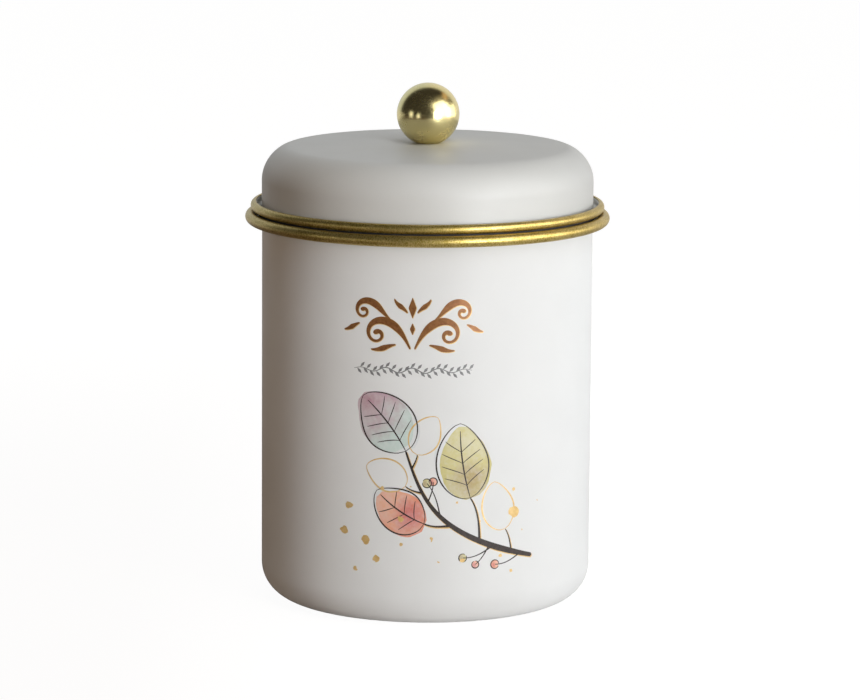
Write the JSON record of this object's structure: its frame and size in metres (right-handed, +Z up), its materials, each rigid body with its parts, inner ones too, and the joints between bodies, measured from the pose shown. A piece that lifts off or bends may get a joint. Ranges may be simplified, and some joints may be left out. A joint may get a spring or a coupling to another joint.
{
  "type": "sugar canister",
  "caption": "Round painted steel storage canister with a domed lift-off lid, rolled gold-coloured rims and a polished ball knob on top.",
  "frame": {"origin": "centre of the base, on the plane that the can stands on", "axes": "+Z up along the common axis of can, lid and knob; -Y towards the side that carries the printed design"},
  "size_m": [0.1212, 0.1212, 0.1728],
  "materials": {
    "can_enamel": "satin white powder coat with a faint orange peel",
    "lid_enamel": "satin warm pale grey powder coat with a faint orange peel",
    "gold_paint": "grainy metallic gold paint, semi-gloss",
    "knob_brass": "polished and clear lacquered",
    "tinplate": "bright rolled tinplate",
    "zinc_plate": "zinc plated",
    "silicone": "matte charcoal silicone",
    "ink_bronze": "printed copper-brown ink with a slight metallic sheen",
    "ink_gold": "printed gold ink",
    "ink_line": "printed dark line ink",
    "ink_wash": "printed watercolour washes in olive, mint grey, mauve and coral"
  },
  "bodies": {
    "canister": {"body_shell": "can_enamel", "body_rim_ring": "gold_paint"},
    "lid": {"lid_shell": "lid_enamel", "lid_rim_ring": "gold_paint", "lid_neck": "tinplate", "seal_gasket": "silicone", "knob_ball": "knob_brass", "knob_screw": "zinc_plate", "knob_washer": "zinc_plate", "knob_spring_washer": "zinc_plate"}
  },
  "joints": [
    {"name": "lid_lift", "type": "slide", "parent": "canister", "child": "lid", "axis": [0, 0, 1], "range_m": [0, 0.12]}
  ]
}
